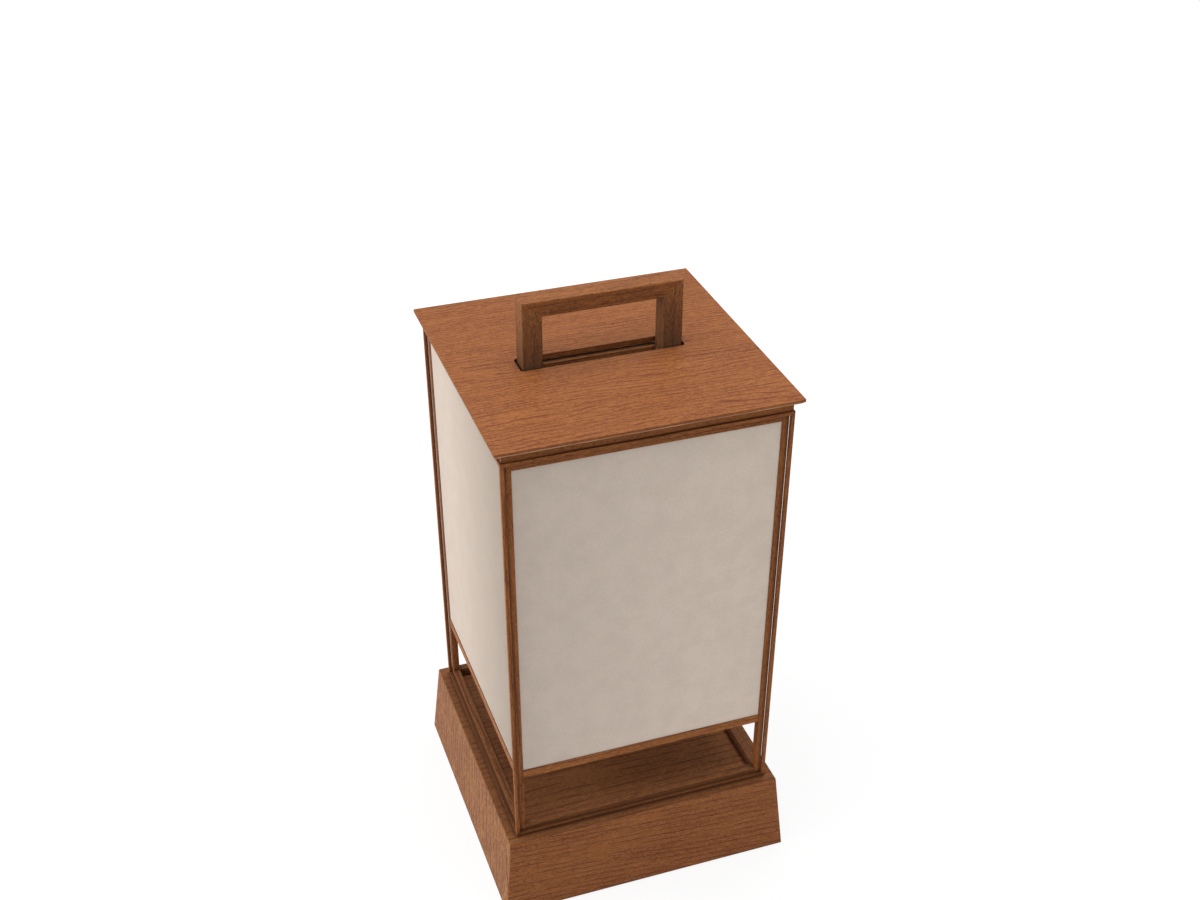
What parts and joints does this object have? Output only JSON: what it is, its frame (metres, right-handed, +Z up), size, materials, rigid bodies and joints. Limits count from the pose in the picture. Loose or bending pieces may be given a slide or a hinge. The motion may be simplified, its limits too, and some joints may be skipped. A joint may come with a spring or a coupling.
{
  "type": "andon floor lamp",
  "caption": "Square wooden andon floor lamp: paper shade in a slender cage on a battered plinth, under a lift-off lid with a carrying handle.",
  "frame": {"origin": "on the ground below the centre of the lamp", "axes": "+Z up; -Y is the front, the side away from the mains inlet; +X to the right"},
  "size_m": [0.3252, 0.3252, 0.6442],
  "materials": {
    "plinth_wood": "oiled, satin",
    "cage_wood": "oiled, satin",
    "shade_wood": "oiled, satin",
    "lid_wood": "oiled, satin",
    "handle_wood": "oiled, satin",
    "inner_wood": "planed, unfinished",
    "cover_board": "plywood, unfinished",
    "washi_paper": "washi laminated on clear sheet, matt",
    "foot_rubber": "matt",
    "screw_steel": "zinc plated",
    "holder_ceramic": "glazed white",
    "fixing_brass": "plain",
    "bulb_cap_metal": "bright",
    "bulb_glass": "frosted",
    "black_plastic": "fine texture",
    "rocker_plastic": "satin",
    "lead_insulation": "silicone insulation"
  },
  "bodies": {
    "lamp": {"plinth_board_front": "plinth_wood", "plinth_board_right": "plinth_wood", "plinth_board_back": "plinth_wood", "plinth_board_left": "plinth_wood", "plinth_top_board": "plinth_wood", "corner_blocks": "inner_wood", "base_cover": "cover_board", "base_cover_screws": "screw_steel", "rubber_feet": "foot_rubber", "cage_post_front_left": "cage_wood", "cage_post_front_right": "cage_wood", "cage_post_back_right": "cage_wood", "cage_post_back_left": "cage_wood", "cage_bottom_rail_front": "cage_wood", "cage_top_rail_front": "cage_wood", "cage_bottom_rail_right": "cage_wood", "cage_top_rail_right": "cage_wood", "cage_bottom_rail_back": "cage_wood", "cage_top_rail_back": "cage_wood", "cage_bottom_rail_left": "cage_wood", "cage_top_rail_left": "cage_wood", "shade_post_front_left": "shade_wood", "shade_post_front_right": "shade_wood", "shade_post_back_right": "shade_wood", "shade_post_back_left": "shade_wood", "shade_bottom_rail_front": "shade_wood", "shade_bottom_rail_right": "shade_wood", "shade_bottom_rail_back": "shade_wood", "shade_bottom_rail_left": "shade_wood", "shade_middle_rail_front": "shade_wood", "shade_middle_rail_right": "shade_wood", "shade_middle_rail_back": "shade_wood", "shade_middle_rail_left": "shade_wood", "shade_top_rail_front": "shade_wood", "shade_top_rail_right": "shade_wood", "shade_top_rail_back": "shade_wood", "shade_top_rail_left": "shade_wood", "paper_panel_front": "washi_paper", "paper_panel_right": "washi_paper", "paper_panel_back": "washi_paper", "paper_panel_left": "washi_paper", "top_frame_front": "cage_wood", "top_frame_right": "cage_wood", "top_frame_back": "cage_wood", "top_frame_left": "cage_wood", "handle_leg_left": "handle_wood", "handle_leg_right": "handle_wood", "handle_rail": "shade_wood", "handle_grip": "handle_wood", "handle_screws": "screw_steel", "lampholder": "holder_ceramic", "lampholder_fixing": "fixing_brass", "mains_inlet": "black_plastic", "switch_housing": "black_plastic", "internal_leads": "lead_insulation"},
    "lid": {"lid_board": "lid_wood", "lid_battens": "inner_wood"},
    "bulb": {"bulb_cap": "bulb_cap_metal", "bulb_globe": "bulb_glass"},
    "rocker": {"switch_rocker": "rocker_plastic"}
  },
  "joints": [
    {"name": "lid_lift", "type": "slide", "parent": "lamp", "child": "lid", "axis": [0, 0, 1], "range_m": [0, 0.1]},
    {"name": "bulb_lift", "type": "slide", "parent": "lamp", "child": "bulb", "axis": [0, 0, 1], "range_m": [0, 0.03]},
    {"name": "switch_tip", "type": "hinge", "parent": "lamp", "child": "rocker", "pos_m": [0.034, 0.15694, 0.04588], "axis": [-1, 0, 0], "range_deg": [0, 16]}
  ]
}
